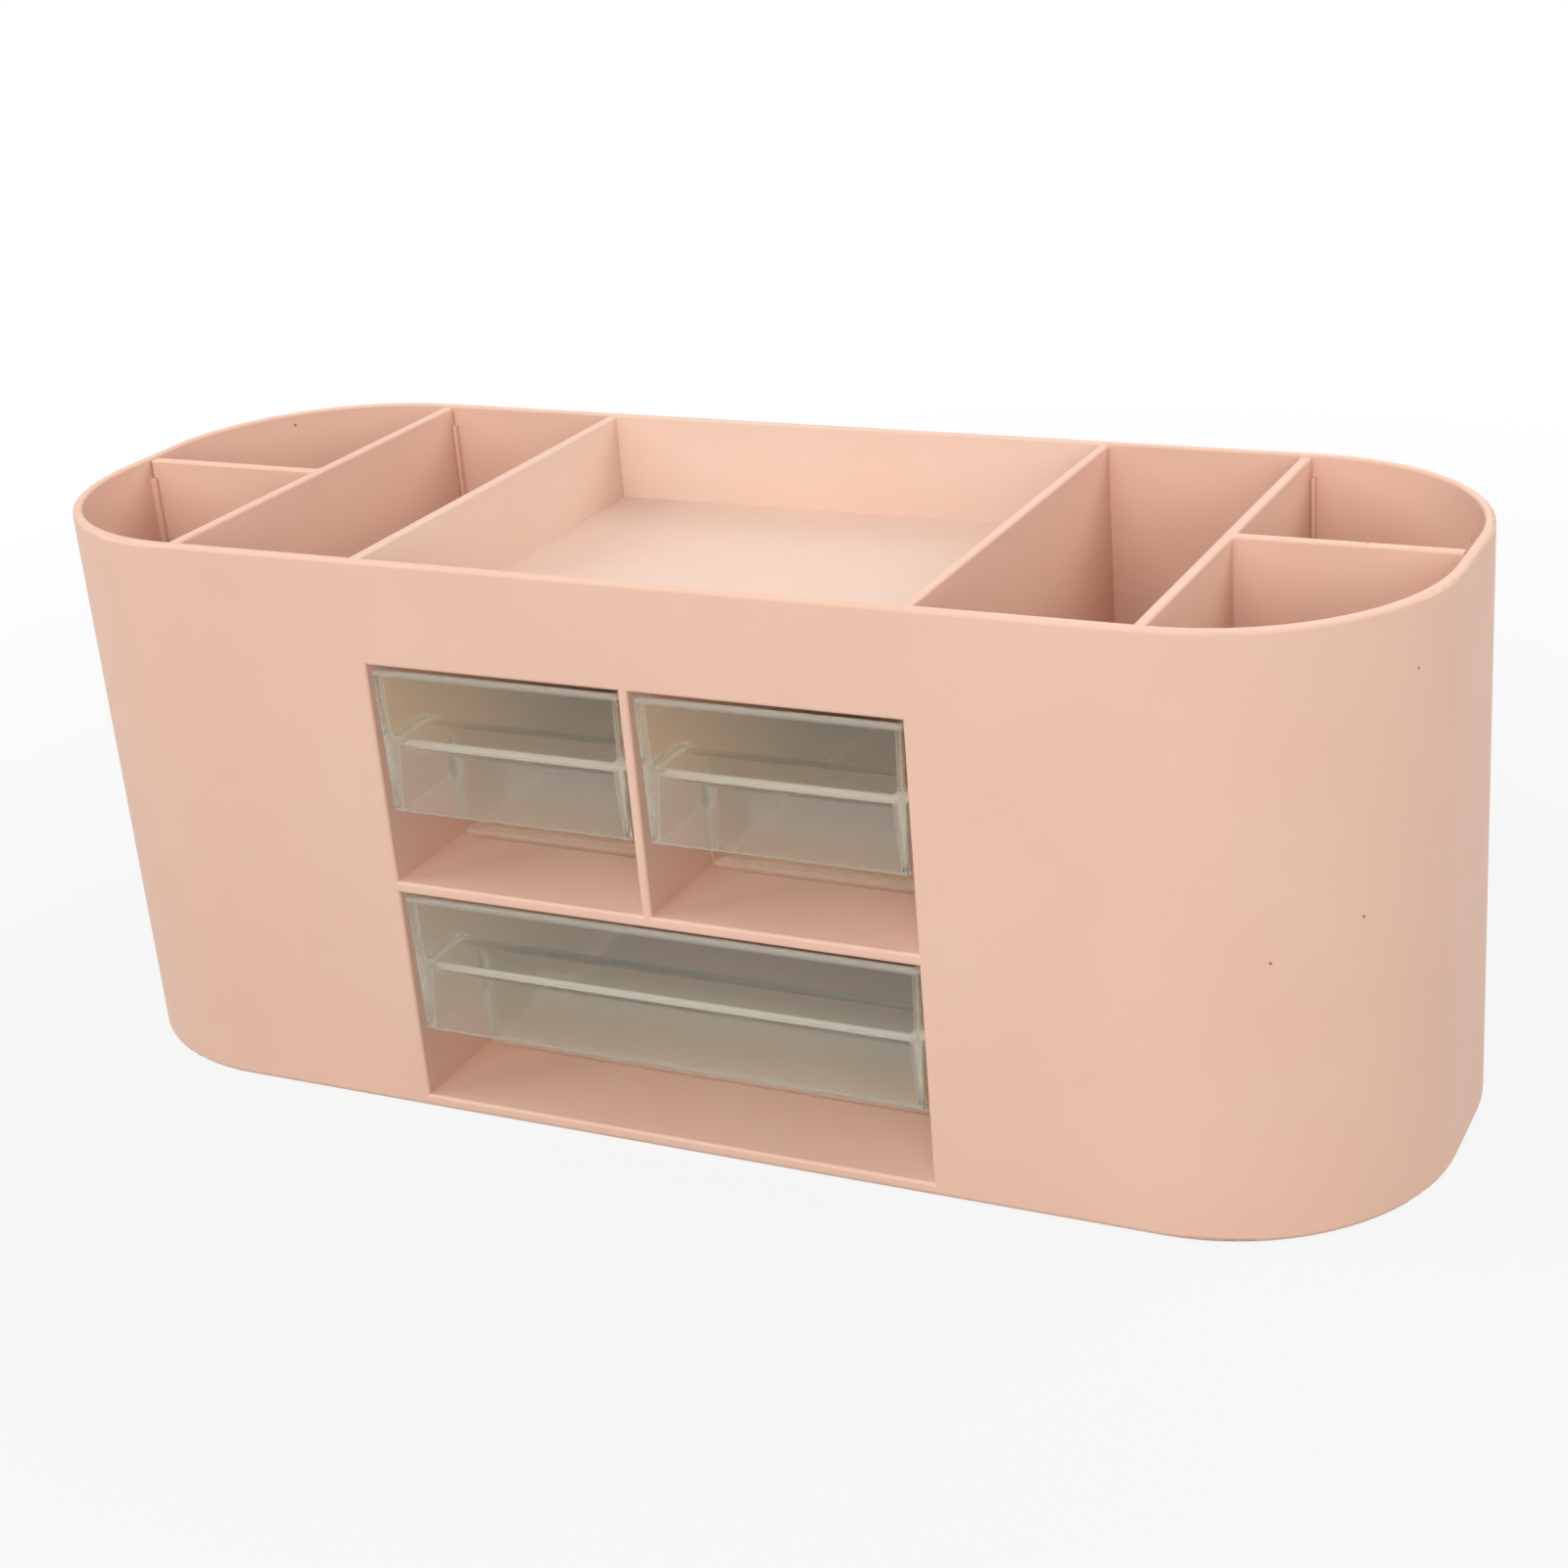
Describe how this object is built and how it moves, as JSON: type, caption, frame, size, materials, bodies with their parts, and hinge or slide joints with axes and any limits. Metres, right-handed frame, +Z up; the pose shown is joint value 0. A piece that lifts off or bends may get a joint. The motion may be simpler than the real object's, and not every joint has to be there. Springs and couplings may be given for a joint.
{
  "type": "desk pen holder with drawers",
  "caption": "Long desk organizer with rounded ends, open pen wells with lift-out partitions, a shallow top tray and clear pull-out drawers in its middle.",
  "frame": {"origin": "middle of the bottom face, on the surface that the part stands on", "axes": "+X along the length, +Y towards the back, +Z up; the drawers open towards -Y"},
  "size_m": [0.29, 0.1044, 0.1176],
  "materials": {
    "body_plastic": "satin moulded pink plastic",
    "clear_plastic": "glossy clear plastic with a faint grey-green tint"
  },
  "bodies": {
    "body": {"outer_wall": "body_plastic", "base_floor": "body_plastic", "left_housing_wall": "body_plastic", "right_housing_wall": "body_plastic", "tray_floor": "body_plastic", "drawer_shelf": "body_plastic", "drawer_divider": "body_plastic", "left_guide_ribs": "body_plastic", "right_guide_ribs": "body_plastic"},
    "upper_left_drawer": {"upper_left_drawer": "clear_plastic"},
    "upper_right_drawer": {"upper_right_drawer": "clear_plastic"},
    "lower_drawer": {"lower_drawer": "clear_plastic"},
    "left_partition": {"left_partition": "body_plastic"},
    "right_partition": {"right_partition": "body_plastic"}
  },
  "joints": [
    {"name": "upper_left_drawer_slide", "type": "slide", "parent": "body", "child": "upper_left_drawer", "axis": [0, -1, 0], "range_m": [0, 0.075]},
    {"name": "upper_right_drawer_slide", "type": "slide", "parent": "body", "child": "upper_right_drawer", "axis": [0, -1, 0], "range_m": [0, 0.075]},
    {"name": "lower_drawer_slide", "type": "slide", "parent": "body", "child": "lower_drawer", "axis": [0, -1, 0], "range_m": [0, 0.075]},
    {"name": "left_partition_lift", "type": "slide", "parent": "body", "child": "left_partition", "axis": [0, 0, 1], "range_m": [0, 0.118]},
    {"name": "right_partition_lift", "type": "slide", "parent": "body", "child": "right_partition", "axis": [0, 0, 1], "range_m": [0, 0.118]}
  ]
}
